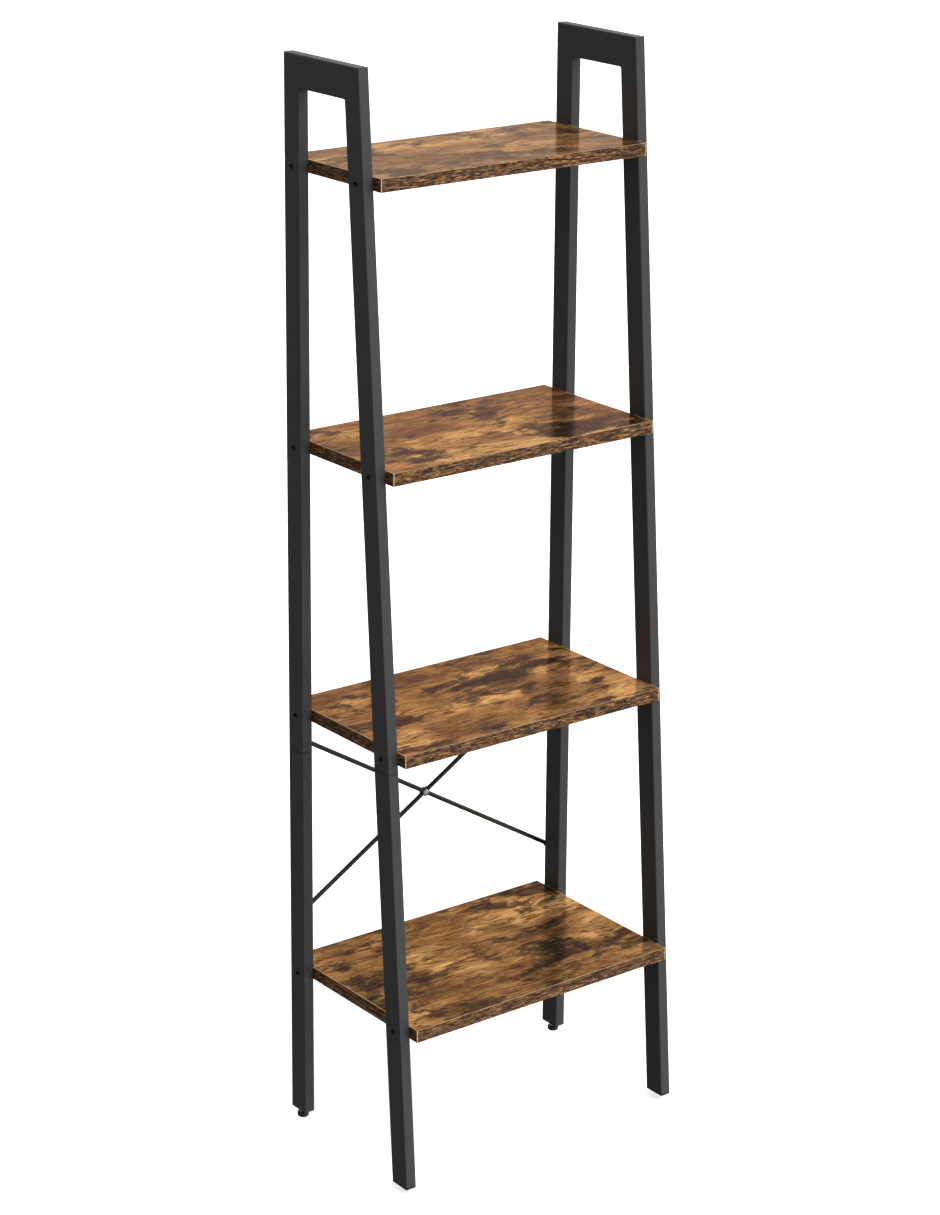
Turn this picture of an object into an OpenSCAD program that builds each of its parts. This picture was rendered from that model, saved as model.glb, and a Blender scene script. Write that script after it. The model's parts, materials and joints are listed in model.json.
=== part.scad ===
// Four-tier ladder shelf: two welded side frames, four boards bolted between them and a crossed rod brace.
// Millimetres. +X runs to the viewer's right, +Y to the wall, +Z up. The origin is on the floor, at the
// centre of the footprint.

/* [Overall size] */
// Width across the outer faces of the two side frames
overall_w = 427; // [380:1:600]
// Height of the side frames above the floor
overall_h = 1375; // [1340:1:1460]
// Depth of a side frame at the floor
floor_d = 250; // [235:1:300]
// Depth of a side frame at its top
top_d = 151; // [140:1:190]

/* [Frame tubes] */
// Width of every tube, across the frame's plane
tube_w = 15; // [15:0.5:18]
// Depth of a leg tube, in the frame's plane
leg_d = 30; // [28:0.5:32]
// Height of the top bar
bar_h = 40; // [34:1:48]
// Wall thickness of every tube
wall = 1.2; // [1:0.1:1.5]
// Outer corner radius of every tube
corner_r = 1.5; // [1.3:0.1:2]
// Height of the seam in each rear leg
rear_seam_z = 504; // [495:1:507]
// Height of the seam in each front leg
front_seam_z = 534; // [520:1:540]

/* [Shelves] */
// Height of the lowest shelf's top face
lowest_top = 211; // [205:1:225]
// Step from the lowest shelf to the next one up
low_step = 348; // [344:1:352]
// Step between each of the other shelves
step = 345; // [335:1:348]
// Thickness of a board
board_t = 16; // [15:0.5:18]
// How far a board stands out in front of and behind the legs
overhang = 15; // [10:1:20]
// Thickness of the edge strips
strip_t = 1; // [0.6:0.1:1.5]

/* [Brace] */
// Diameter of a brace rod
rod_d = 6; // [4:0.5:6]
// Height of the brace's upper screws
brace_top_z = 517; // [514:1:522]
// Height of the brace's lower screws
brace_low_z = 267; // [250:1:290]

/* [Feet] */
// Height of the rear tubes' lower ends above the floor
rear_lift = 11.5; // [11.5:0.5:13]
// Diameter of a levelling foot's pad
pad_d = 15; // [13.5:0.5:15]
// Height of a pad
pad_h = 8; // [7.6:0.1:8]
// Thickness of the front end caps under the tubes
cap_t = 3; // [2:0.5:4]

/* [Hidden] */
$fn = 48;

coat = [0.16, 0.16, 0.17];
plastic = [0.08, 0.08, 0.08];
zinc = [0.75, 0.75, 0.72];
laminate = [0.60, 0.42, 0.23];
edging = [0.38, 0.22, 0.12];
big = 2000;
// Small gap left where one hard piece slides into another
slip = 0.15;
// Running clearance on a radius, for a screw in its thread
thread_gap = 0.05;

// Side frame
lean = atan((floor_d - top_d) / overall_h);
leg_x = overall_w / 2 - tube_w / 2;
inner_x = overall_w / 2 - tube_w;
bar_low_z = overall_h - bar_h;
inner_r = max(corner_r - wall, 0.3);
seam_gap = 0.8;
sleeve_reach = 60;
// How far the tubes run past the mitres before they are cut
mitre_over = 10;

// Shelves, counted from the top
tops = [lowest_top + low_step + 2 * step, lowest_top + low_step + step, lowest_top + low_step, lowest_top];
function mid_z(i) = tops[i] - board_t / 2;

// Places along the depth. The footprint's centre is at Y = 0.
low_edge_lead = min(tan(lean) * mid_z(3) - overhang, 0);
rear_y = (floor_d - overhang - low_edge_lead) / 2;
front_y = rear_y - floor_d;
rear_leg_y = rear_y - leg_d / 2;
function front_face_y(z) = front_y + tan(lean) * z;
function front_leg_y(z) = front_face_y(z) + leg_d / (2 * cos(lean));
function board_front_y(i) = front_face_y(mid_z(i)) - overhang;
board_rear_y = rear_y + overhang;

// A point on a mitre line of the top bar, from the inner corner at 0 to the outer corner at 1
front_inner_y = front_face_y(bar_low_z) + leg_d / cos(lean);
front_mitre_run = front_face_y(overall_h) - front_inner_y;
function rear_mitre(t) = [rear_y - leg_d + t * leg_d, bar_low_z + t * bar_h];
function front_mitre(t) = [front_inner_y + t * front_mitre_run, bar_low_z + t * bar_h];

// Fasteners
bolt_d = 6;
bolt_hole_d = 6.4;
bolt_head_d = 8.6;
bolt_head_h = 1.4;
bolt_socket_af = 4;
bolt_socket_depth = 2.4;
bolt_reach = 12;
insert_d = 10;
insert_len = 13;
insert_sink = 0.2;
pocket_gap = 0.05;
pocket_depth = 14;
brace_screw_d = 5;
brace_screw_len = 12;
brace_head_d = 8.5;
brace_head_h = 2.4;
cross_screw_d = 4;
cross_head_d = 8;
cross_head_h = 2.4;
cross_nut_af = 7;
cross_nut_t = 3.2;
cross_tail = 1;
recess_w = 1.1;
recess_l = 4.4;
recess_depth = 1.3;

// Brace
tab_t = 2.5;
tab_w = 9;
tab_len = 6;
rod_start = 5;
boss_d = 11;
flat_half = 6.5;
flat_free = 5.7;
rod_lift = 0.1;
flat_gap = 0.1;
rod_y = rear_y + rod_lift + rod_d / 2;
flat_t = rod_d / 2 - flat_gap / 2;
brace_run = 2 * leg_x;
brace_rise = brace_top_z - brace_low_z;
brace_len = norm([brace_run, brace_rise]);
brace_mid_z = (brace_top_z + brace_low_z) / 2;
brace_angle = atan(brace_rise / brace_run);

// Levelling feet
plug_h = 16;
plug_insert_d = 9;
plug_insert_len = 12;
stud_d = 6;
stud_len = 20;
collar_af = 10;
collar_h = 2.5;
pivot_d = 5;
pivot_len = 3;
plug_bore_d = 6.6;
pad_round = 3.3;
pad_top_round = 3.3;
cap_plug_h = 15;

// A rectangle with round corners, centred
module rounded_rect(w, d, r) {
  square([w - 2 * r, d], center = true);
  square([w, d - 2 * r], center = true);
  for (x = [-1, 1], y = [-1, 1])
    translate([x * (w / 2 - r), y * (d / 2 - r)]) circle(r = r);
}

// A straight rectangular tube along Z
module tube(w, d, len, t = wall, r = corner_r, r_in = inner_r) {
  difference() {
    linear_extrude(height = len) rounded_rect(w, d, r);
    translate([0, 0, -1]) linear_extrude(height = len + 2) rounded_rect(w - 2 * t, d - 2 * t, r_in);
  }
}

// Keeps what lies between two heights
module between(low, high) {
  intersection() {
    children();
    translate([-big / 2, -big / 2, low]) cube([big, big, high - low]);
  }
}

// The right-hand piece as drawn, or its mirror image on the left
module on_side(side) {
  if (side > 0) children();
  else mirror([1, 0, 0]) children();
}

// Stands the children on a front leg's sloping axis, from its height at the floor
module on_front_axis() {
  translate([leg_x, front_leg_y(0), 0]) rotate([-lean, 0, 0]) children();
}

// Holes across a leg for the shelf bolts
module bolt_holes(leg = "rear") {
  for (i = [0:3])
    translate([leg_x, leg == "rear" ? rear_leg_y : front_leg_y(mid_z(i)), mid_z(i)])
      rotate([0, 90, 0]) cylinder(d = bolt_hole_d, h = 2 * tube_w, center = true);
}

// Threaded holes in the back wall of a rear leg for the brace screws
module brace_holes() {
  for (z = [brace_low_z, brace_top_z])
    translate([leg_x, rear_y + 1, z]) rotate([90, 0, 0])
      cylinder(d = brace_screw_d + 2 * thread_gap, h = leg_d / 2);
}

module rear_leg_piece(low, high) {
  difference() {
    translate([leg_x, rear_leg_y, low]) tube(tube_w, leg_d, high - low);
    bolt_holes("rear");
    brace_holes();
  }
}

module front_leg_piece(low, high) {
  difference() {
    between(low, high) on_front_axis() translate([0, 0, -big / 20]) tube(tube_w, leg_d, big);
    bolt_holes("front");
  }
}

// The space between the two mitres, which holds the top bar and cuts the legs
module bar_space() {
  translate([leg_x - tube_w, 0, 0]) rotate([90, 0, 90]) linear_extrude(height = 2 * tube_w)
    polygon([rear_mitre(-0.5), rear_mitre(1.5), front_mitre(1.5), front_mitre(-0.5)]);
}

module rear_upper_tube(side) {
  color(coat) on_side(side) difference() {
    rear_leg_piece(rear_seam_z + seam_gap / 2, overall_h + mitre_over);
    bar_space();
  }
}

module rear_lower_tube(side) {
  color(coat) on_side(side) rear_leg_piece(rear_lift, rear_seam_z - seam_gap / 2);
}

module front_upper_tube(side) {
  color(coat) on_side(side) difference() {
    front_leg_piece(front_seam_z + seam_gap / 2, overall_h + mitre_over);
    bar_space();
  }
}

module front_lower_tube(side) {
  color(coat) on_side(side) front_leg_piece(cap_t, front_seam_z - seam_gap / 2);
}

module top_bar(side) {
  color(coat) on_side(side) intersection() {
    translate([leg_x, rear_y + mitre_over, overall_h - bar_h / 2]) rotate([90, 0, 0])
      tube(tube_w, bar_h, floor_d + 2 * mitre_over);
    bar_space();
  }
}

// The hollow bar inside a leg that joins its two lengths
module sleeve_tube() {
  tube(tube_w - 2 * wall - 2 * slip, leg_d - 2 * wall - 2 * slip, 2 * sleeve_reach, wall, inner_r, inner_r);
}

module rear_sleeve(side) {
  color(zinc) on_side(side) difference() {
    translate([leg_x, rear_leg_y, rear_seam_z - sleeve_reach]) sleeve_tube();
    bolt_holes("rear");
    brace_holes();
  }
}

module front_sleeve(side) {
  color(zinc) on_side(side) difference() {
    on_front_axis() translate([0, 0, front_seam_z / cos(lean) - sleeve_reach]) sleeve_tube();
    bolt_holes("front");
  }
}

// The plastic plug in a rear tube's lower end, bored for the threaded insert and the stud
module rear_plug(side) {
  color(plastic) on_side(side) translate([leg_x, rear_leg_y, rear_lift]) difference() {
    linear_extrude(height = plug_h)
      rounded_rect(tube_w - 2 * wall - 2 * slip, leg_d - 2 * wall - 2 * slip, inner_r);
    translate([0, 0, -1]) cylinder(d = plug_bore_d, h = plug_h + 2);
    translate([0, 0, -1]) cylinder(d = plug_insert_d + 2 * pocket_gap, h = plug_insert_len + 1);
  }
}

module plug_insert(side) {
  color(zinc) on_side(side) translate([leg_x, rear_leg_y, rear_lift]) difference() {
    cylinder(d = plug_insert_d, h = plug_insert_len);
    translate([0, 0, -1]) cylinder(d = stud_d + 2 * thread_gap, h = plug_insert_len + 2);
  }
}

// The plastic cap in a front tube's lower end, cut level with the floor
module front_cap(side) {
  color(plastic) on_side(side) {
    between(0, cap_t) on_front_axis() translate([0, 0, -big / 20])
      linear_extrude(height = big / 10) rounded_rect(tube_w, leg_d, corner_r);
    between(cap_t, cap_t + cap_plug_h) on_front_axis() translate([0, 0, -big / 20])
      linear_extrude(height = big / 10)
        rounded_rect(tube_w - 2 * wall - 2 * slip, leg_d - 2 * wall - 2 * slip, inner_r);
  }
}

// The screw of a levelling foot: pivot, hexagonal collar and threaded length
module foot_stud(side) {
  color(zinc) on_side(side) translate([leg_x, rear_leg_y, pad_h]) {
    translate([0, 0, -pivot_len]) cylinder(d = pivot_d, h = pivot_len);
    cylinder(d = collar_af / cos(30), h = collar_h, $fn = 6);
    translate([0, 0, collar_h]) cylinder(d = stud_d, h = stud_len);
  }
}

// Half of a pad's section, with a large round below and a small one above
module pad_section() {
  r = pad_d / 2;
  square([r - pad_round, pad_h]);
  translate([0, pad_round]) square([r - pad_top_round, pad_h - pad_round]);
  translate([0, pad_round]) square([r, pad_h - pad_round - pad_top_round]);
  translate([r - pad_round, pad_round]) circle(r = pad_round);
  translate([r - pad_top_round, pad_h - pad_top_round]) circle(r = pad_top_round);
}

module foot_pad(side) {
  color(plastic) on_side(side) translate([leg_x, rear_leg_y, 0]) difference() {
    rotate_extrude() pad_section();
    translate([0, 0, pad_h - pivot_len - thread_gap])
      cylinder(d = pivot_d + 2 * thread_gap, h = pivot_len + 1);
  }
}

// Places the children at the four bolts of shelf i, pointing inwards from a leg's inner face
module at_board_bolts(i) {
  for (side = [-1, 1], y = [rear_leg_y, front_leg_y(mid_z(i))])
    translate([side * inner_x, y, mid_z(i)]) rotate([0, -90 * side, 0]) children();
}

module board(i) {
  color(laminate) difference() {
    translate([-inner_x + strip_t, board_front_y(i) + strip_t, tops[i] - board_t])
      cube([2 * (inner_x - strip_t), board_rear_y - board_front_y(i) - 2 * strip_t, board_t]);
    at_board_bolts(i) translate([0, 0, -1]) cylinder(d = insert_d + 2 * pocket_gap, h = pocket_depth + 1);
  }
}

// Four edge strips: the long ones run the whole width and cover the ends of the short ones
module edge_strips(i) {
  color(edging) difference() {
    union() {
      for (y = [board_front_y(i), board_rear_y - strip_t])
        translate([-inner_x, y, tops[i] - board_t]) cube([2 * inner_x, strip_t, board_t]);
      for (x = [-inner_x, inner_x - strip_t])
        translate([x, board_front_y(i) + strip_t, tops[i] - board_t])
          cube([strip_t, board_rear_y - board_front_y(i) - 2 * strip_t, board_t]);
    }
    at_board_bolts(i) translate([0, 0, -1]) cylinder(d = insert_d + 2 * pocket_gap, h = strip_t + 2);
  }
}

// A shallow domed head on the plane Z = 0, rising along +Z
module dome_head(d, h) {
  ball_r = (d * d / 4 + h * h) / (2 * h);
  intersection() {
    translate([0, 0, h - ball_r]) sphere(r = ball_r);
    cylinder(d = d + 1, h = h + 1);
  }
}

module cross_recess(h) {
  for (turn = [0, 90])
    rotate([0, 0, turn]) translate([-recess_l / 2, -recess_w / 2, h - recess_depth])
      cube([recess_l, recess_w, recess_depth + 1]);
}

module shelf_bolt() {
  difference() {
    union() {
      translate([0, 0, -tube_w]) cylinder(d = bolt_d, h = tube_w + bolt_reach);
      translate([0, 0, -tube_w]) mirror([0, 0, 1]) dome_head(bolt_head_d, bolt_head_h);
    }
    translate([0, 0, -tube_w - bolt_head_h - 1])
      cylinder(d = bolt_socket_af / cos(30), h = bolt_socket_depth + 1, $fn = 6);
  }
}

module shelf_bolts(i) {
  color(plastic) at_board_bolts(i) shelf_bolt();
}

module board_inserts(i) {
  color(zinc) at_board_bolts(i) translate([0, 0, insert_sink]) difference() {
    cylinder(d = insert_d, h = insert_len);
    translate([0, 0, -1]) cylinder(d = bolt_d + 2 * thread_gap, h = insert_len + 2);
  }
}

// A flat strip in the brace's plane, along X, with its front face at the given depth
module flat(x0, x1, y, t, w) {
  translate([x0, y, -w / 2]) cube([x1 - x0, t, w]);
}

// One rod along X, centred on the crossing, with its middle boss starting at flat_y
module brace_rod(flat_y) {
  half = brace_len / 2;
  difference() {
    union() {
      for (side = [-1, 1]) {
        on_side(side) {
          translate([flat_free, rod_y, 0]) rotate([0, 90, 0])
            cylinder(d = rod_d, h = half - rod_start - flat_free);
          flat(half - tab_len, half, rear_y, tab_t, tab_w);
          translate([half, rear_y, 0]) rotate([-90, 0, 0]) cylinder(d = tab_w, h = tab_t);
        }
      }
      flat(-flat_half, flat_half, flat_y, flat_t, rod_d);
      translate([0, flat_y, 0]) rotate([-90, 0, 0]) cylinder(d = boss_d, h = flat_t);
    }
    for (x = [-half, half])
      translate([x, rear_y - 1, 0]) rotate([-90, 0, 0]) cylinder(d = brace_screw_d + 0.3, h = tab_t + 2);
    translate([0, rear_y - 1, 0]) rotate([-90, 0, 0]) cylinder(d = cross_screw_d + 0.3, h = 2 * rod_d);
  }
}

// Falls from the upper left to the lower right
module brace_rod_a() {
  color(coat) translate([0, 0, brace_mid_z]) rotate([0, brace_angle, 0]) brace_rod(rod_y - rod_d / 2);
}

// Rises from the lower left to the upper right
module brace_rod_b() {
  color(coat) translate([0, 0, brace_mid_z]) rotate([0, -brace_angle, 0]) brace_rod(rod_y + flat_gap / 2);
}

module brace_end_screws() {
  color(plastic) for (x = [-leg_x, leg_x], z = [brace_low_z, brace_top_z])
    translate([x, rear_y + tab_t, z]) rotate([-90, 0, 0]) {
      difference() {
        dome_head(brace_head_d, brace_head_h);
        cross_recess(brace_head_h);
      }
      translate([0, 0, -brace_screw_len]) cylinder(d = brace_screw_d, h = brace_screw_len);
    }
}

module brace_cross_screw() {
  color(zinc) translate([0, rod_y - rod_d / 2, brace_mid_z]) rotate([90, 0, 0]) {
    difference() {
      dome_head(cross_head_d, cross_head_h);
      cross_recess(cross_head_h);
    }
    translate([0, 0, -rod_d - cross_nut_t - cross_tail])
      cylinder(d = cross_screw_d, h = rod_d + cross_nut_t + cross_tail);
  }
}

module brace_cross_nut() {
  color(zinc) translate([0, rod_y + rod_d / 2, brace_mid_z]) rotate([-90, 0, 0]) difference() {
    cylinder(d = cross_nut_af / cos(30), h = cross_nut_t, $fn = 6);
    translate([0, 0, -1]) cylinder(d = cross_screw_d + 2 * thread_gap, h = cross_nut_t + 2);
  }
}

rear_upper_tube(-1);  // rear_upper_tube_left
rear_upper_tube(1);  // rear_upper_tube_right
front_upper_tube(-1);  // front_upper_tube_left
front_upper_tube(1);  // front_upper_tube_right
top_bar(-1);  // top_bar_left
top_bar(1);  // top_bar_right
rear_lower_tube(-1);  // rear_lower_tube_left
rear_lower_tube(1);  // rear_lower_tube_right
front_lower_tube(-1);  // front_lower_tube_left
front_lower_tube(1);  // front_lower_tube_right
rear_sleeve(-1);  // rear_sleeve_left
rear_sleeve(1);  // rear_sleeve_right
front_sleeve(-1);  // front_sleeve_left
front_sleeve(1);  // front_sleeve_right
rear_plug(-1);  // rear_plug_left
rear_plug(1);  // rear_plug_right
plug_insert(-1);  // plug_insert_left
plug_insert(1);  // plug_insert_right
front_cap(-1);  // front_cap_left
front_cap(1);  // front_cap_right
foot_stud(-1);  // foot_stud_left
foot_stud(1);  // foot_stud_right
foot_pad(-1);  // foot_pad_left
foot_pad(1);  // foot_pad_right
board(0);  // board_1
board(1);  // board_2
board(2);  // board_3
board(3);  // board_4
edge_strips(0);  // edge_strips_1
edge_strips(1);  // edge_strips_2
edge_strips(2);  // edge_strips_3
edge_strips(3);  // edge_strips_4
shelf_bolts(0);  // shelf_bolts_1
shelf_bolts(1);  // shelf_bolts_2
shelf_bolts(2);  // shelf_bolts_3
shelf_bolts(3);  // shelf_bolts_4
board_inserts(0);  // board_inserts_1
board_inserts(1);  // board_inserts_2
board_inserts(2);  // board_inserts_3
board_inserts(3);  // board_inserts_4
brace_rod_a();
brace_rod_b();
brace_end_screws();
brace_cross_screw();
brace_cross_nut();
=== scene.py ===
import json
import math

import bmesh
import bpy
from mathutils import Matrix, Vector


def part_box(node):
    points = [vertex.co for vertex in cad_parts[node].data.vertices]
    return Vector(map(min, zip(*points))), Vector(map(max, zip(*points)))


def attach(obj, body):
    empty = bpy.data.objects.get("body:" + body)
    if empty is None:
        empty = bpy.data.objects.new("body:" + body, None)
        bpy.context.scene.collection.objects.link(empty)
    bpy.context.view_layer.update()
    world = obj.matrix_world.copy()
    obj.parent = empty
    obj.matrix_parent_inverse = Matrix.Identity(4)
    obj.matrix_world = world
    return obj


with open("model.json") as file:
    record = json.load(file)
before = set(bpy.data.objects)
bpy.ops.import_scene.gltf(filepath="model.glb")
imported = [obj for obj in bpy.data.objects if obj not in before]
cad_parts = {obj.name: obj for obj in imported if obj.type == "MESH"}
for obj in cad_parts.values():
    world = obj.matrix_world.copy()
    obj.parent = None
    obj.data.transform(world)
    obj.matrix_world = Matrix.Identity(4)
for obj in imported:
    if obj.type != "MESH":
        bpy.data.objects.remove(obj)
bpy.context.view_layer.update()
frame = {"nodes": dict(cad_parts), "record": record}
NODES = frame["nodes"]
MM = 0.001

# The camera stands to the left and in front of the shelf, above its top, and looks down at it
CAMERA_AT = Vector((-2.2776, -2.9405, 1.9516))
CAMERA_YAW = 37.474
CAMERA_PITCH = -15.833
CAMERA_ROLL = 0.465
SENSOR = 36.0
LENS = 93.66
SHIFT_UP = -0.1403

# The fine cracks in the wood print run a little off the grain
GRAIN_TILT = math.radians(9)
# Width of the pale line where an edge strip's cut edge shows; where it runs onto the front faces it is a
# painted edge highlight
PALE_EDGE_AND_HIGHLIGHT = 1.0 * MM
# The weld fillets inside the corners under the top bars: reach, half width, sink into the tubes
FILLET = 4 * MM
FILLET_HALF = 6 * MM
FILLET_SINK = 0.5 * MM
FILLET_STEPS = 8
# Rounding of the edge strips' hard edges, and the angle above which an edge counts as hard
EDGE_ROUNDING = 0.3 * MM
HARD_ANGLE = math.radians(40)
# Offsets that move the noises away from zero, where all their octaves line up
GRAIN_OFFSET = (3.1, 2.3, 1.7)
STRIP_OFFSET = (1.7, 1.1, 2.3)
BOARD_OFFSET = (0.31, 0.17, 0)
# How much more the print changes from board to board than along a board
BOARD_CHANGE = 7
# The studio is brightest on this side of the object, seen from its middle
BRIGHT_SIDE = Vector((0.75, -0.25, 0.6)).normalized()
WORLD_DIM = 0.05
WORLD_BRIGHT = 1.15
# The broad front light: where it shines from, what it is aimed at, its strength and its softness
SUN_AT = Vector((1.6, -2.6, 4.6))
SUN_AIM = Vector((0, 0, 0.7))
SUN_POWER = 2.2
SUN_SPREAD = math.radians(50)
# The pale ground and the dome that hides its horizon, in metres, and the ground's own glow
FLOOR_SIZE = 60
FLOOR_GLOW = 0.55
DOME_RADIUS = 28
# How far the camera sees, which has to reach past the dome
VIEW_LIMIT = 100


# ---------------------------------------------------------------- colours and nodes

def srgb(red, green, blue):
    """A colour given as 0 to 255 on a screen, as the shader's linear colour."""
    def linear(value):
        value /= 255
        return value / 12.92 if value <= 0.04045 else ((value + 0.055) / 1.055) ** 2.4
    return (linear(red), linear(green), linear(blue), 1.0)


class Shader:
    """Builds one material. Each call adds a node and gives back its output socket."""

    def __init__(self, name):
        self.material = bpy.data.materials.new(name)
        self.material.use_nodes = True
        self.tree = self.material.node_tree
        self.surface = self.tree.nodes["Principled BSDF"]

    def add(self, kind, **settings):
        made = self.tree.nodes.new(kind)
        for key, value in settings.items():
            setattr(made, key, value)
        return made

    def feed(self, socket, value):
        if isinstance(value, bpy.types.NodeSocket):
            self.tree.links.new(value, socket)
        elif value is not None:
            socket.default_value = value

    def place(self):
        return self.add("ShaderNodeTexCoord").outputs["Object"]

    def grain_place(self):
        """The place, moved away from zero, where all the octaves of a noise line up."""
        return self.stretch(self.place(), (1, 1, 1), GRAIN_OFFSET)

    def normal(self):
        return self.add("ShaderNodeNewGeometry").outputs["Normal"]

    def parts(self, vector):
        split = self.add("ShaderNodeSeparateXYZ")
        self.feed(split.inputs[0], vector)
        return split.outputs

    def join(self, x, y, z):
        made = self.add("ShaderNodeCombineXYZ")
        for socket, value in zip(made.inputs, (x, y, z)):
            self.feed(socket, value)
        return made.outputs[0]

    def stretch(self, vector, scale, offset=(0, 0, 0)):
        made = self.add("ShaderNodeMapping")
        self.feed(made.inputs["Vector"], vector)
        made.inputs["Scale"].default_value = scale
        made.inputs["Location"].default_value = offset
        return made.outputs[0]

    def move(self, vector, by, amount):
        """vector, moved by a noise colour about its middle."""
        centred = self.add("ShaderNodeVectorMath", operation="SUBTRACT")
        self.feed(centred.inputs[0], by)
        centred.inputs[1].default_value = (0.5, 0.5, 0.5)
        scaled = self.add("ShaderNodeVectorMath", operation="MULTIPLY")
        self.feed(scaled.inputs[0], centred.outputs[0])
        scaled.inputs[1].default_value = amount
        total = self.add("ShaderNodeVectorMath", operation="ADD")
        self.feed(total.inputs[0], vector)
        self.feed(total.inputs[1], scaled.outputs[0])
        return total.outputs[0]

    def noise(self, vector, scale, detail, roughness, distortion=0.0, colour=False):
        made = self.add("ShaderNodeTexNoise")
        self.feed(made.inputs["Vector"], vector)
        made.inputs["Scale"].default_value = scale
        made.inputs["Detail"].default_value = detail
        made.inputs["Roughness"].default_value = roughness
        made.inputs["Distortion"].default_value = distortion
        return made.outputs["Color" if colour else "Fac"]

    def cells(self, vector):
        """Distance to the nearest of some scattered points."""
        made = self.add("ShaderNodeTexVoronoi")
        self.feed(made.inputs["Vector"], vector)
        made.inputs["Scale"].default_value = 1.0
        return made.outputs["Distance"]

    def calc(self, operation, a, b=None):
        made = self.add("ShaderNodeMath", operation=operation)
        self.feed(made.inputs[0], a)
        self.feed(made.inputs[1], b)
        return made.outputs[0]

    def steps(self, value, low, high, out_low=0.0, out_high=1.0):
        """A smooth step from low to high."""
        made = self.add("ShaderNodeMapRange", interpolation_type="SMOOTHSTEP")
        settings = {"Value": value, "From Min": low, "From Max": high, "To Min": out_low, "To Max": out_high}
        for key, setting in settings.items():
            self.feed(made.inputs[key], setting)
        return made.outputs[0]

    def blend(self, factor, a, b):
        """Colour b over colour a."""
        made = self.add("ShaderNodeMix", data_type="RGBA")
        self.feed(made.inputs["Factor"], factor)
        self.feed(made.inputs[6], a)
        self.feed(made.inputs[7], b)
        return made.outputs[2]

    def ramp(self, value, *stops):
        """A colour ramp. Each stop is a place from 0 to 1 and a colour."""
        made = self.add("ShaderNodeValToRGB")
        self.feed(made.inputs[0], value)
        band = made.color_ramp
        while len(band.elements) < len(stops):
            band.elements.new(0.5)
        for element, (at, colour) in zip(band.elements, stops):
            element.position = at
            element.color = colour
        return made.outputs[0]

    def bump(self, height, distance, strength, under=None):
        made = self.add("ShaderNodeBump")
        self.feed(made.inputs["Height"], height)
        made.inputs["Distance"].default_value = distance
        made.inputs["Strength"].default_value = strength
        self.feed(made.inputs["Normal"], under)
        return made.outputs[0]

    def finish(self, colour, roughness, normal=None, **constants):
        """Feeds the surface. The constants are set straight on the shader's sockets."""
        self.feed(self.surface.inputs["Base Color"], colour)
        self.feed(self.surface.inputs["Roughness"], roughness)
        self.feed(self.surface.inputs["Normal"], normal)
        for key, value in constants.items():
            self.surface.inputs[key.replace("_", " ")].default_value = value
        return self.material


# ---------------------------------------------------------------- materials

def powder_coat():
    """Matte black with a fine orange peel and a few paler grains."""
    s = Shader("powder_coat")
    at = s.grain_place()
    grains = s.noise(at, 2600, 2, 0.6)
    peel = s.noise(at, 420, 3, 0.5)
    cloud = s.noise(at, 9, 3, 0.6)
    tone = s.ramp(cloud, (0.3, srgb(54, 54, 55)), (0.7, srgb(60, 60, 61)))
    speck = s.blend(s.steps(grains, 0.62, 0.72, 0, 0.3), tone, srgb(78, 78, 80))
    rough = s.calc("ADD", s.steps(cloud, 0.3, 0.7, 0.44, 0.52), s.steps(grains, 0.3, 0.7, -0.04, 0.04))
    fine = s.bump(grains, 0.00006, 0.5)
    return s.finish(speck, rough, s.bump(peel, 0.00012, 0.5, fine), Specular_IOR_Level=0.45)


def rod_enamel():
    """Smoother, blacker enamel on the thin brace rods."""
    s = Shader("rod_enamel")
    at = s.grain_place()
    runs = s.noise(at, 300, 3, 0.5)
    tone = s.ramp(runs, (0.3, srgb(7, 7, 8)), (0.7, srgb(14, 14, 15)))
    return s.finish(tone, s.steps(runs, 0.3, 0.7, 0.22, 0.3), s.bump(runs, 0.00008, 0.5),
                    Specular_IOR_Level=0.5)


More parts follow.
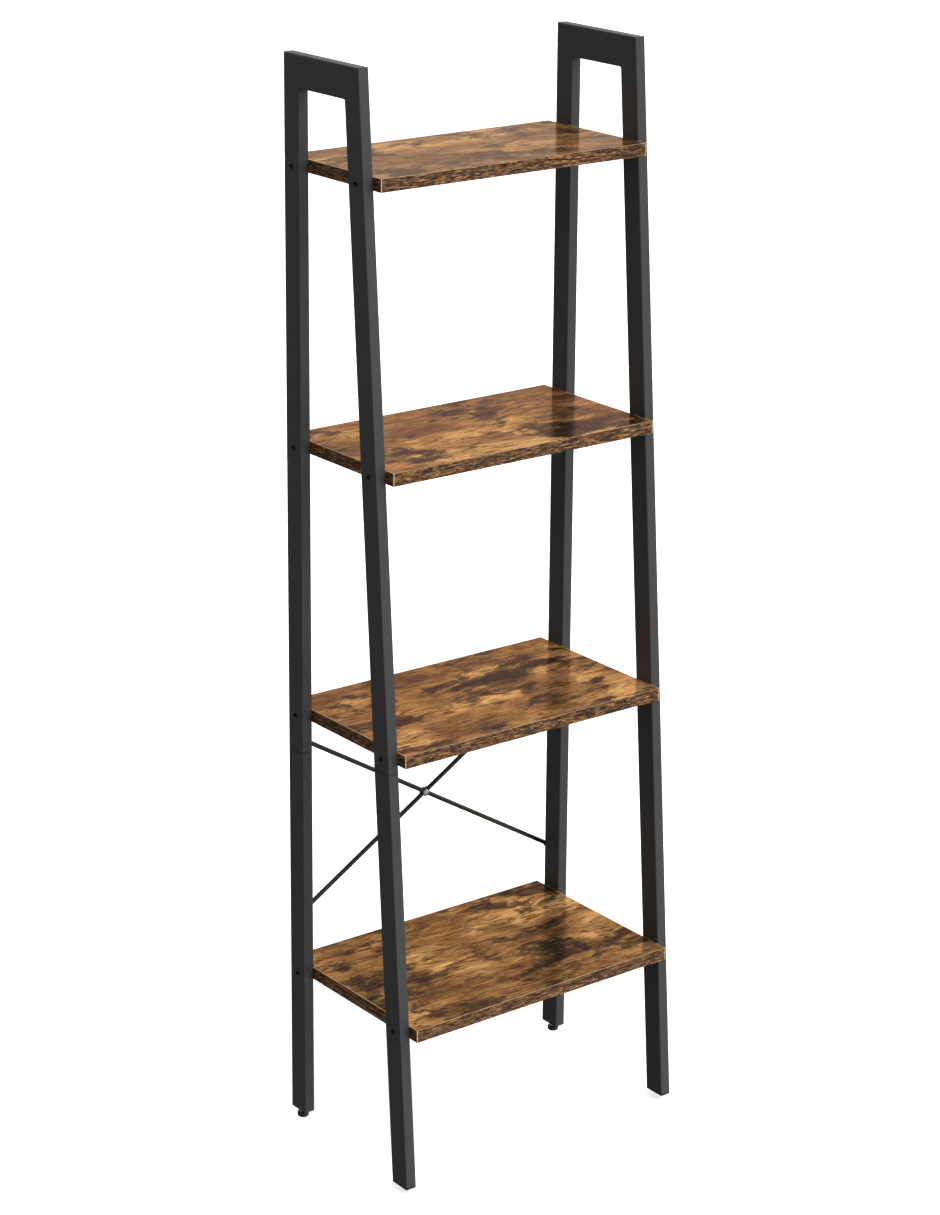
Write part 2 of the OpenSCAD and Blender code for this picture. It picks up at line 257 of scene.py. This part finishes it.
def wood_top():
    """Rustic wood print under a satin glaze: golden fields, charcoal clouds and fine grain along X."""
    s = Shader("wood_laminate")
    at = s.place()
    spread = s.stretch(at, (1, 1, BOARD_CHANGE), BOARD_OFFSET)
    drift = s.move(spread, s.noise(spread, 14, 4, 0.55, colour=True), (0.035, 0.022, 0))
    field = s.noise(s.stretch(drift, (7, 16, 1)), 1.0, 6, 0.66)
    cloud = s.noise(s.stretch(drift, (10, 17, 1), (3.1, 1.7, 0)), 1.0, 7, 0.6, 0.5)
    smoke = s.noise(s.stretch(drift, (24, 52, 1), (0.4, 5.2, 0)), 1.0, 6, 0.68, 0.4)
    streak = s.noise(s.stretch(drift, (16, 210, 1)), 1.0, 5, 0.66, 0.2)
    fibre = s.noise(s.stretch(spread, (60, 1300, 1)), 1.0, 3, 0.6)
    tilted = s.add("ShaderNodeVectorRotate", rotation_type="Z_AXIS")
    s.feed(tilted.inputs["Vector"], drift)
    tilted.inputs["Angle"].default_value = GRAIN_TILT
    crack = s.noise(s.stretch(tilted.outputs[0], (38, 330, 1)), 1.0, 4, 0.6, 0.3)
    threads = s.noise(s.stretch(drift, (34, 500, 1)), 1.0, 4, 0.7, 0.1)
    base = s.ramp(field, (0.37, srgb(103, 74, 50)), (0.46, srgb(156, 114, 76)),
                  (0.54, srgb(196, 145, 97)), (0.62, srgb(248, 194, 130)))
    base = s.blend(s.steps(smoke, 0.48, 0.62, 0, 0.6), base, srgb(88, 60, 35))
    base = s.blend(s.steps(streak, 0.50, 0.64, 0, 0.6), base, srgb(76, 51, 30))
    base = s.blend(s.steps(threads, 0.52, 0.64, 0, 0.65), base, srgb(66, 44, 26))
    base = s.blend(s.steps(threads, 0.46, 0.36, 0, 0.4), base, srgb(216, 160, 90))
    heavy = s.calc("ADD", cloud, s.calc("MULTIPLY", s.calc("SUBTRACT", smoke, 0.5), 0.55))
    dark = s.steps(heavy, 0.505, 0.57)
    deep = s.steps(heavy, 0.56, 0.64)
    base = s.blend(s.calc("MULTIPLY", dark, 0.82), base, srgb(70, 62, 46))
    base = s.blend(s.calc("MULTIPLY", deep, 0.95), base, srgb(31, 30, 26))
    patch = s.steps(s.noise(s.stretch(drift, (13, 20, 1), (7.7, 2.9, 0)), 1.0, 3, 0.5), 0.44, 0.56)
    lines = s.calc("MULTIPLY", s.steps(crack, 0.545, 0.6), patch)
    base = s.blend(s.calc("MULTIPLY", lines, 0.85), base, srgb(46, 28, 18))
    base = s.blend(s.steps(fibre, 0.52, 0.68, 0.0, 0.42), base, srgb(60, 38, 22))
    base = s.blend(s.steps(fibre, 0.46, 0.34, 0.0, 0.28), base, srgb(214, 156, 82))
    knots = s.cells(s.stretch(drift, (11, 15, 1)))
    base = s.blend(s.steps(knots, 0.2, 0.09, 0, 0.5), base, srgb(76, 47, 26))
    base = s.blend(s.steps(knots, 0.10, 0.05, 0, 0.9), base, srgb(34, 25, 20))
    rough = s.calc("ADD", s.steps(dark, 0, 1, 0.15, 0.2), s.steps(fibre, 0.3, 0.7, -0.02, 0.05))
    relief = s.bump(fibre, 0.00004, 0.3)
    relief = s.bump(crack, 0.00012, 0.3, relief)
    return s.finish(base, rough, relief, Metallic=0.55, Specular_IOR_Level=0.1,
                    Specular_Tint=srgb(218, 172, 122))


def wood_edge(name, low, high, strip):
    """Layered print on the edge strips. Their cut edges show as pale lines on top and at the corners,
    widened onto the front faces as a painted edge highlight.
    """
    s = Shader(name)
    x, y, z = s.parts(s.place())
    upward = s.parts(s.normal())[2]
    along = s.join(s.calc("ADD", x, y), z, s.calc("SUBTRACT", x, y))
    run = s.stretch(along, (1, 1, 1), STRIP_OFFSET)
    wavy = s.move(run, s.noise(run, 30, 2, 0.5, colour=True), (0, 0.003, 0))
    layers = s.noise(s.stretch(wavy, (46, 620, 3)), 1.0, 4, 0.7, 0.2)
    flecks = s.noise(s.stretch(wavy, (120, 900, 3)), 1.0, 3, 0.7)
    cloud = s.noise(s.stretch(wavy, (17, 50, 3)), 1.0, 3, 0.6)
    base = s.ramp(layers, (0.40, srgb(30, 16, 6)), (0.47, srgb(68, 41, 18)),
                  (0.53, srgb(108, 70, 36)), (0.61, srgb(176, 128, 80)))
    base = s.blend(s.steps(flecks, 0.52, 0.57, 0, 0.85), base, srgb(30, 15, 5))
    base = s.blend(s.steps(flecks, 0.44, 0.38, 0, 0.7), base, srgb(196, 148, 98))
    base = s.blend(s.steps(cloud, 0.5, 0.66, 0, 0.35), base, srgb(48, 29, 14))
    # Pale edges: the cut-edge colour on the strips' top and bottom faces and ends, plus a painted edge
    # highlight on the front faces just under the top edge and beside the corners
    on_top = s.calc("GREATER_THAN", s.calc("ABSOLUTE", upward), 0.5)
    painted_top_highlight = s.calc("GREATER_THAN", z, high.z - PALE_EDGE_AND_HIGHLIGHT / 3)
    end_x = s.calc("GREATER_THAN", s.calc("ABSOLUTE", x), high.x - PALE_EDGE_AND_HIGHLIGHT)
    at_front = s.calc("LESS_THAN", y, low.y + strip)
    at_rear = s.calc("GREATER_THAN", y, high.y - strip)
    end_y = s.calc("MAXIMUM", at_front, at_rear)
    pale_corner_and_highlight = s.calc("MULTIPLY", end_x, end_y)
    pale_top_and_highlight = s.calc("MAXIMUM", on_top, painted_top_highlight)
    base = s.blend(s.calc("MULTIPLY", pale_top_and_highlight, 0.55), base, srgb(208, 168, 126))
    base = s.blend(s.calc("MULTIPLY", pale_corner_and_highlight, 0.9), base, srgb(232, 196, 160))
    relief = s.bump(layers, 0.00018, 0.5)
    return s.finish(base, s.steps(layers, 0.3, 0.7, 0.34, 0.46), relief, Specular_IOR_Level=0.25)


def black_plastic():
    """Moulded plastic with a fine grain, on the plugs, caps and pads."""
    s = Shader("black_plastic")
    at = s.grain_place()
    grain = s.noise(at, 3200, 2, 0.5)
    cloud = s.noise(at, 60, 3, 0.5)
    tone = s.ramp(cloud, (0.3, srgb(22, 22, 23)), (0.7, srgb(30, 30, 31)))
    return s.finish(tone, s.steps(cloud, 0.3, 0.7, 0.30, 0.42), s.bump(grain, 0.00004, 0.4),
                    Specular_IOR_Level=0.5)


def black_oxide():
    """Blackened steel, on the shelf bolts and the screws at the brace's ends."""
    s = Shader("black_oxide")
    at = s.grain_place()
    fine = s.noise(at, 2400, 3, 0.6)
    cloud = s.noise(at, 240, 3, 0.6)
    tone = s.ramp(cloud, (0.35, srgb(32, 32, 34)), (0.75, srgb(52, 51, 52)))
    return s.finish(tone, s.steps(cloud, 0.3, 0.7, 0.26, 0.4), s.bump(fine, 0.00003, 0.4), Metallic=0.6)


def zinc_plate():
    """Bright plated steel, on the foot screws, the threaded inserts and the crossing's screw and nut."""
    s = Shader("zinc_plate")
    at = s.grain_place()
    fine = s.noise(at, 1800, 3, 0.6)
    cloud = s.noise(at, 300, 3, 0.6)
    tone = s.ramp(cloud, (0.3, srgb(226, 226, 224)), (0.7, srgb(242, 242, 240)))
    return s.finish(tone, s.steps(cloud, 0.3, 0.7, 0.26, 0.4), s.bump(fine, 0.00002, 0.4), Metallic=0.6)


# ---------------------------------------------------------------- dressing the CAD nodes

def wear(node, material):
    """Gives a CAD node its material."""
    materials = NODES[node].data.materials
    materials.clear()
    materials.append(material)


def soften(node):
    """Rounds a node's hard edges a little, inside its own shape."""
    bevel = NODES[node].modifiers.new("soft_edges", "BEVEL")
    bevel.width = EDGE_ROUNDING
    bevel.segments = 2
    bevel.limit_method = "ANGLE"
    bevel.angle_limit = HARD_ANGLE


def dress():
    """Gives every CAD node its finish, by the start of its name, and adds the welds."""
    coat, plastic, oxide, zinc = powder_coat(), black_plastic(), black_oxide(), zinc_plate()
    finishes = {
        "rear_upper_tube": coat, "front_upper_tube": coat, "rear_lower_tube": coat, "front_lower_tube": coat,
        "top_bar": coat, "rear_sleeve": coat, "front_sleeve": coat, "brace_rod": rod_enamel(),
        "rear_plug": plastic, "front_cap": plastic, "foot_pad": plastic,
        "plug_insert": zinc, "foot_stud": zinc, "board_inserts": zinc, "brace_cross": zinc,
        "shelf_bolts": oxide, "brace_end_screws": oxide, "board_": wood_top(),
    }
    for name in NODES:
        if name.startswith("edge_strips"):
            low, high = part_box(name)
            wear(name, wood_edge(name.replace("edge_strips", "wood_edging"), low, high, strip_width()))
            soften(name)
        else:
            start = max((key for key in finishes if name.startswith(key)), key=len)
            wear(name, finishes[start])
    weld_fillets(coat)


def weld_fillets(coat):
    """A small concave weld in each inside corner under the top bars."""
    for side in ("left", "right"):
        bar_low, bar_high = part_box("top_bar_" + side)
        middle = (bar_low.x + bar_high.x) / 2
        rear_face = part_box("rear_upper_tube_" + side)[0].y
        front_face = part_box("front_upper_tube_" + side)[1].y
        add_fillet("rear_weld_" + side, middle, rear_face, bar_low.z, -1, coat)
        add_fillet("front_weld_" + side, middle, front_face, bar_low.z, 1, coat)


def add_fillet(name, middle, corner_y, corner_z, inward, coat):
    """A concave prism in a corner. Its two flat sides sink a little into the tubes."""
    section = [(-FILLET_SINK, FILLET_SINK), (FILLET, FILLET_SINK)]
    for step in range(FILLET_STEPS + 1):
        angle = math.radians(90 * step / FILLET_STEPS)
        section.append((FILLET * (1 - math.sin(angle)), -FILLET * (1 - math.cos(angle))))
    section.append((-FILLET_SINK, -FILLET))
    mesh = bmesh.new()
    rings = []
    for x in (middle - FILLET_HALF, middle + FILLET_HALF):
        rings.append([mesh.verts.new((x, corner_y + inward * across, corner_z + up))
                      for across, up in section])
    for ring in rings:
        mesh.faces.new(ring)
    for i in range(len(section)):
        after = (i + 1) % len(section)
        mesh.faces.new((rings[0][i], rings[0][after], rings[1][after], rings[1][i]))
    bmesh.ops.recalc_face_normals(mesh, faces=mesh.faces)
    data = bpy.data.meshes.new(name)
    mesh.to_mesh(data)
    mesh.free()
    for face in data.polygons:
        face.use_smooth = abs(face.normal.x) < 0.5 and len(face.vertices) == 4
    data.materials.append(coat)
    piece = bpy.data.objects.new(name, data)
    bpy.context.scene.collection.objects.link(piece)
    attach(piece, "frame")


def strip_width():
    """How far the edge strips stand past the board inside them."""
    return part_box("board_1")[0].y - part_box("edge_strips_1")[0].y


# ---------------------------------------------------------------- floor, light and camera

def foot_reach():
    """How far the levelling feet can be screwed down from where they are at rest."""
    joints = frame["record"]["behaviour"]["joints"]
    return max(joint["range_m"][1] for joint in joints if joint["type"] == "slide")


def floor():
    """The pale ground. It lies at the feet's longest reach, so that no pose sinks into it."""
    bpy.ops.mesh.primitive_plane_add(size=FLOOR_SIZE, location=(0, 0, -foot_reach()))
    ground = bpy.context.object
    ground.name = "floor"
    s = Shader("pale_floor")
    tone = s.ramp(s.noise(s.place(), 3, 3, 0.5), (0.3, srgb(250, 250, 250)), (0.7, srgb(253, 253, 253)))
    s.feed(s.surface.inputs["Emission Color"], tone)
    ground.data.materials.append(s.finish(tone, 0.9, Specular_IOR_Level=0.1, Emission_Strength=FLOOR_GLOW))
    ground.visible_diffuse = False
    ground.visible_glossy = False


def backdrop():
    """A white dome that only the camera sees, so that the pale floor has no horizon."""
    bpy.ops.mesh.primitive_uv_sphere_add(radius=DOME_RADIUS)
    dome = bpy.context.object
    dome.name = "backdrop"
    s = Shader("pale_backdrop")
    tone = s.ramp(s.noise(s.place(), 3, 3, 0.5), (0.3, srgb(253, 253, 253)), (0.7, srgb(255, 255, 255)))
    s.feed(s.surface.inputs["Emission Color"], tone)
    dome.data.materials.append(s.finish(tone, 0.9, Specular_IOR_Level=0.0, Emission_Strength=1.0))
    dome.visible_diffuse = False
    dome.visible_glossy = False
    dome.visible_shadow = False


def front_light():
    """The one lamp: a sun with very soft shadows."""
    data = bpy.data.lights.new("front_light", "SUN")
    data.energy = SUN_POWER
    data.angle = SUN_SPREAD
    made = bpy.data.objects.new("front_light", data)
    made.location = SUN_AT
    made.rotation_euler = (SUN_AIM - SUN_AT).to_track_quat("-Z", "Y").to_euler()
    bpy.context.scene.collection.objects.link(made)


def studio():
    """Soft surroundings, brighter on one side, and a broad soft light from the front."""
    world = bpy.data.worlds.new("studio")
    world.use_nodes = True
    tree = world.node_tree
    place = tree.nodes.new("ShaderNodeTexCoord")
    facing = tree.nodes.new("ShaderNodeVectorMath")
    facing.operation = "DOT_PRODUCT"
    facing.inputs[1].default_value = BRIGHT_SIDE
    glow = tree.nodes.new("ShaderNodeMapRange")
    glow.inputs["From Min"].default_value = -1
    glow.inputs["To Min"].default_value = WORLD_DIM
    glow.inputs["To Max"].default_value = WORLD_BRIGHT
    tree.links.new(place.outputs["Generated"], facing.inputs[0])
    tree.links.new(facing.outputs["Value"], glow.inputs["Value"])
    tree.links.new(glow.outputs[0], tree.nodes["Background"].inputs["Strength"])
    tree.nodes["Background"].inputs["Color"].default_value = (1, 1, 1, 1)
    bpy.context.scene.world = world
    front_light()
    bpy.context.scene.view_settings.view_transform = "Standard"


def camera():
    """The photo's viewpoint."""
    data = bpy.data.cameras.new("camera")
    data.sensor_width = SENSOR
    data.lens = LENS
    data.shift_y = SHIFT_UP
    data.clip_end = VIEW_LIMIT
    made = bpy.data.objects.new("camera", data)
    yaw, pitch, roll = (math.radians(a) for a in (CAMERA_YAW, CAMERA_PITCH, CAMERA_ROLL))
    ahead = Vector((math.sin(yaw) * math.cos(pitch), math.cos(yaw) * math.cos(pitch), math.sin(pitch)))
    right = ahead.cross(Vector((0, 0, 1))).normalized()
    up = right.cross(ahead)
    level = Matrix((right, up, -ahead)).transposed().to_4x4()
    made.matrix_world = Matrix.Translation(CAMERA_AT) @ level @ Matrix.Rotation(roll, 4, "Z")
    bpy.context.scene.collection.objects.link(made)
    bpy.context.scene.camera = made


camera()
studio()
floor()
backdrop()
dress()
